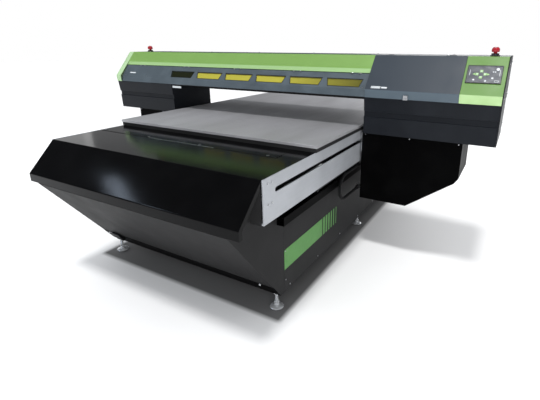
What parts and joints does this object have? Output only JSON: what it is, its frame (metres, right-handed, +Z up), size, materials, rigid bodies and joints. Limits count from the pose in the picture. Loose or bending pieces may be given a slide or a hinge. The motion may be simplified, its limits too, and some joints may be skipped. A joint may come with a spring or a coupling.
{
  "type": "flatbed uv printer",
  "caption": "Flatbed UV printer: wide vacuum bed on a levelled steel base, with a travelling bridge that holds the covered print carriage, cabinets, control panel and stop buttons.",
  "frame": {"origin": "on the floor, under the middle of the machine's overall box", "axes": "+X along the gantry, towards the control panel; +Y from the front lip to the back; +Z up"},
  "size_m": [3.594, 3.34, 1.586],
  "materials": {
    "black_gloss": "gloss black powder coat",
    "black_satin": "satin black powder coat",
    "leg_black": "satin black powder coat",
    "alloy": "brushed anodised aluminium",
    "steel": "machined steel",
    "chrome": "zinc and chrome plated",
    "bed": "fine bead-blasted aluminium with vacuum holes",
    "green": "satin green paint",
    "green_pale": "satin pale green moulding",
    "cover_grey": "satin blue-grey paint",
    "cabinet_grey": "satin dark grey paint",
    "amber": "UV-filtering amber acrylic",
    "stripe": "satin green vinyl",
    "rubber": "black rubber",
    "dark_plastic": "black moulded nylon",
    "panel": "dark membrane panel",
    "key_green": "pale green key",
    "key_white": "white key",
    "red": "red moulded button",
    "lamp": "lamp window and housing"
  },
  "bodies": {
    "base": {"base_frame": "black_satin", "front_hood": "black_gloss", "hood_top": "black_gloss", "underpanel": "black_satin", "cheeks": "black_satin", "side_panels": "black_satin", "rear_panel": "black_satin", "side_stripes": "stripe", "rail_beams": "alloy", "rail_beam_bolts": "steel", "linear_rails": "steel", "table_plate": "bed", "vacuum_plenum": "black_satin", "vacuum_blowers": "dark_plastic", "levelling_feet": "chrome", "chain_tray": "leg_black", "drive_motors": "black_satin"},
    "gantry": {"legs": "leg_black", "leg_necks": "black_satin", "saddle_plates": "steel", "guide_blocks": "steel", "screw_nuts": "steel", "leg_brackets": "steel", "conduit_loop": "rubber", "gantry_beam": "black_satin", "x_rails": "steel", "x_belt": "rubber", "x_motor": "black_satin", "top_cover": "green", "cover_hinges": "steel", "rear_cover": "cover_grey", "left_end_trim": "green_pale", "right_end_cap": "cabinet_grey", "panel_housing": "green", "control_panel": "panel", "cabinet_left": "cabinet_grey", "cabinet_right": "cabinet_grey", "estop_bases": "dark_plastic", "ink_cartridges": "dark_plastic"},
    "chain": {"cable_chain": "dark_plastic"},
    "screw_right": {"drive_screw_right": "steel"},
    "screw_left": {"drive_screw_left": "steel"},
    "pulley_left": {"belt_pulley_left": "alloy"},
    "pulley_right": {"belt_pulley_right": "alloy"},
    "cover": {"front_cover": "cover_grey", "window_screen": "amber"},
    "hood": {"right_hood": "cover_grey"},
    "latch": {"hood_latch": "steel"},
    "carriage": {"carriage": "black_satin"},
    "head_block": {"head_block": "alloy", "print_heads": "steel", "uv_lamps": "lamp"},
    "caps": {"cap_tray": "steel"},
    "estop_left": {"estop_left": "red"},
    "estop_right": {"estop_right": "red"},
    "key_up": {"key_up": "key_green"},
    "key_down": {"key_down": "key_green"},
    "key_left": {"key_left": "key_green"},
    "key_right": {"key_right": "key_green"},
    "key_power": {"key_power": "key_white"}
  },
  "joints": [
    {"name": "gantry_travel", "type": "slide", "parent": "base", "child": "gantry", "axis": [0, 1, 0], "range_m": [-0.86, 1.43]},
    {"name": "chain_travel", "type": "slide", "parent": "base", "child": "chain", "axis": [0, 1, 0], "range_m": [-0.43, 0.715]},
    {"name": "screw_right_turn", "type": "hinge", "parent": "base", "child": "screw_right", "pos_m": [0.806, 0, 0.79], "axis": [0, 1, 0], "continuous": true},
    {"name": "screw_left_turn", "type": "hinge", "parent": "base", "child": "screw_left", "pos_m": [-0.87, 0, 0.79], "axis": [0, 1, 0], "continuous": true},
    {"name": "carriage_travel", "type": "slide", "parent": "gantry", "child": "carriage", "axis": [1, 0, 0], "range_m": [-2.1, 0]},
    {"name": "pulley_left_turn", "type": "hinge", "parent": "gantry", "child": "pulley_left", "pos_m": [-1.65, 0.052, 1.29], "axis": [0, 1, 0], "continuous": true},
    {"name": "pulley_right_turn", "type": "hinge", "parent": "gantry", "child": "pulley_right", "pos_m": [1.65, 0.052, 1.29], "axis": [0, 1, 0], "continuous": true},
    {"name": "head_lift", "type": "slide", "parent": "carriage", "child": "head_block", "axis": [0, 0, 1], "range_m": [-0.1, 0]},
    {"name": "cap_lift", "type": "slide", "parent": "gantry", "child": "caps", "axis": [0, 0, 1], "range_m": [0, 0.1]},
    {"name": "cover_hinge", "type": "hinge", "parent": "gantry", "child": "cover", "pos_m": [0, -0.176, 1.398], "axis": [-1, 0, 0], "range_deg": [0, 75]},
    {"name": "hood_hinge", "type": "hinge", "parent": "gantry", "child": "hood", "pos_m": [0, -0.02, 1.526], "axis": [-1, 0, 0], "range_deg": [0, 70]},
    {"name": "latch_turn", "type": "hinge", "parent": "hood", "child": "latch", "pos_m": [1.205, -0.288, 1.262], "axis": [0, 1, 0], "range_deg": [0, 90]},
    {"name": "estop_left_press", "type": "slide", "parent": "gantry", "child": "estop_left", "axis": [0, 0, 1], "range_m": [-0.006, 0], "stiffness_N_per_m": 900},
    {"name": "estop_right_press", "type": "slide", "parent": "gantry", "child": "estop_right", "axis": [0, 0, 1], "range_m": [-0.006, 0], "stiffness_N_per_m": 900},
    {"name": "key_up_press", "type": "slide", "parent": "gantry", "child": "key_up", "axis": [0, -0.7532, 0.6578], "range_m": [-0.0015, 0], "stiffness_N_per_m": 400},
    {"name": "key_down_press", "type": "slide", "parent": "gantry", "child": "key_down", "axis": [0, -0.7532, 0.6578], "range_m": [-0.0015, 0], "stiffness_N_per_m": 400},
    {"name": "key_left_press", "type": "slide", "parent": "gantry", "child": "key_left", "axis": [0, -0.7532, 0.6578], "range_m": [-0.0015, 0], "stiffness_N_per_m": 400},
    {"name": "key_right_press", "type": "slide", "parent": "gantry", "child": "key_right", "axis": [0, -0.7532, 0.6578], "range_m": [-0.0015, 0], "stiffness_N_per_m": 400},
    {"name": "key_power_press", "type": "slide", "parent": "gantry", "child": "key_power", "axis": [0, -0.7532, 0.6578], "range_m": [-0.0015, 0], "stiffness_N_per_m": 400}
  ],
  "couplings": [
    {"joint": "chain_travel", "follows": "gantry_travel", "ratio": 0.5},
    {"joint": "screw_right_turn", "follows": "gantry_travel", "rad_per_m": 157.08},
    {"joint": "screw_left_turn", "follows": "gantry_travel", "rad_per_m": -157.08},
    {"joint": "pulley_left_turn", "follows": "carriage_travel", "rad_per_m": -38.023},
    {"joint": "pulley_right_turn", "follows": "carriage_travel", "rad_per_m": -38.023}
  ]
}
